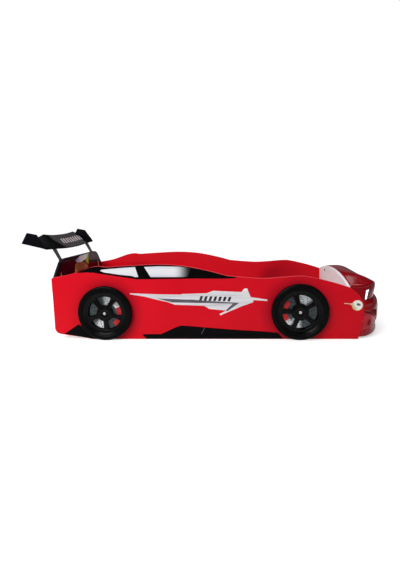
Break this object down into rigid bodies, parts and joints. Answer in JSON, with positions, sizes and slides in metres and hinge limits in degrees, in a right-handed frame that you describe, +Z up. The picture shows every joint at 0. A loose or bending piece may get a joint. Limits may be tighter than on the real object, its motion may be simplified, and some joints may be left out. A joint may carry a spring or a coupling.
{
  "type": "car-shaped single bed",
  "caption": "Child's single bed shaped like a race car, with side panels, slatted base, moulded front, rear wing and wheels with spinning rims.",
  "frame": {"origin": "on the floor, under the middle of the bed's box", "axes": "+X to the car's front and the sleeper's feet, +Y to the car's left side, +Z up"},
  "size_m": [2.444, 1.104, 0.728],
  "materials": {
    "red_panel": "satin lacquered board, printed graphics",
    "black_board": "black satin board",
    "pale_board": "pale melamine board",
    "glossy_face": "high gloss dark red print behind clear plastic",
    "red_shell": "high gloss moulded plastic",
    "grille_black": "black mesh grille",
    "black_plastic": "fine-textured black plastic",
    "tyre_black": "semi-matt moulded plastic tyre",
    "rim_black": "gloss black",
    "disc_silver": "turned, drilled",
    "caliper_red": "gloss red",
    "bolt_steel": "bright",
    "strut_grey": "dark anodised",
    "beech": "bare planed timber",
    "headlight_glass": "clear, lit from behind",
    "fog_lens": "gloss tinted lens"
  },
  "bodies": {
    "bed": {"side_panel_right": "red_panel", "side_rail_right": "beech", "headlight_lens_right": "headlight_glass", "headlight_lamp_right": "black_plastic", "fog_lamp_right": "fog_lens", "wing_end_plate_right": "black_plastic", "wing_strut_right": "strut_grey", "side_panel_left": "red_panel", "side_rail_left": "beech", "headlight_lens_left": "headlight_glass", "headlight_lamp_left": "black_plastic", "fog_lamp_left": "fog_lens", "wing_end_plate_left": "black_plastic", "wing_strut_left": "strut_grey", "tyre_rear_right": "tyre_black", "brake_disc_rear_right": "disc_silver", "caliper_rear_right": "caliper_red", "centre_bolt_rear_right": "bolt_steel", "tyre_rear_left": "tyre_black", "brake_disc_rear_left": "disc_silver", "caliper_rear_left": "caliper_red", "centre_bolt_rear_left": "bolt_steel", "tyre_front_right": "tyre_black", "brake_disc_front_right": "disc_silver", "caliper_front_right": "caliper_red", "centre_bolt_front_right": "bolt_steel", "tyre_front_left": "tyre_black", "brake_disc_front_left": "disc_silver", "caliper_front_left": "caliper_red", "centre_bolt_front_left": "bolt_steel", "headboard_panel": "black_board", "headboard_face": "glossy_face", "footboard_panel": "pale_board", "switch_bezel": "black_plastic", "lamp_driver_box": "black_plastic", "centre_beam": "beech", "centre_foot_rear": "beech", "centre_foot_front": "beech", "bonnet_shell": "red_shell", "bumper_shell": "red_shell", "grille_insert": "grille_black", "wing_blade": "black_plastic", "slat_01": "beech", "slat_02": "beech", "slat_03": "beech", "slat_04": "beech", "slat_05": "beech", "slat_06": "beech", "slat_07": "beech", "slat_08": "beech", "slat_09": "beech", "slat_10": "beech", "slat_11": "beech", "slat_12": "beech"},
    "rim_body_rear_right": {"rim_rear_right": "rim_black"},
    "rim_body_rear_left": {"rim_rear_left": "rim_black"},
    "rim_body_front_right": {"rim_front_right": "rim_black"},
    "rim_body_front_left": {"rim_front_left": "rim_black"},
    "switch_body": {"switch_button": "black_plastic"}
  },
  "joints": [
    {"name": "spin_rear_right", "type": "hinge", "parent": "bed", "child": "rim_body_rear_right", "pos_m": [-0.652, -0.535, 0.184], "axis": [0, 1, 0], "continuous": true},
    {"name": "spin_rear_left", "type": "hinge", "parent": "bed", "child": "rim_body_rear_left", "pos_m": [-0.652, 0.535, 0.184], "axis": [0, 1, 0], "continuous": true},
    {"name": "spin_front_right", "type": "hinge", "parent": "bed", "child": "rim_body_front_right", "pos_m": [0.636, -0.535, 0.184], "axis": [0, 1, 0], "continuous": true},
    {"name": "spin_front_left", "type": "hinge", "parent": "bed", "child": "rim_body_front_left", "pos_m": [0.636, 0.535, 0.184], "axis": [0, 1, 0], "continuous": true},
    {"name": "switch_press", "type": "slide", "parent": "bed", "child": "switch_body", "axis": [1, 0, 0], "range_m": [0, 0.0025], "stiffness_N_per_m": 300, "springref_m": -0.001}
  ]
}
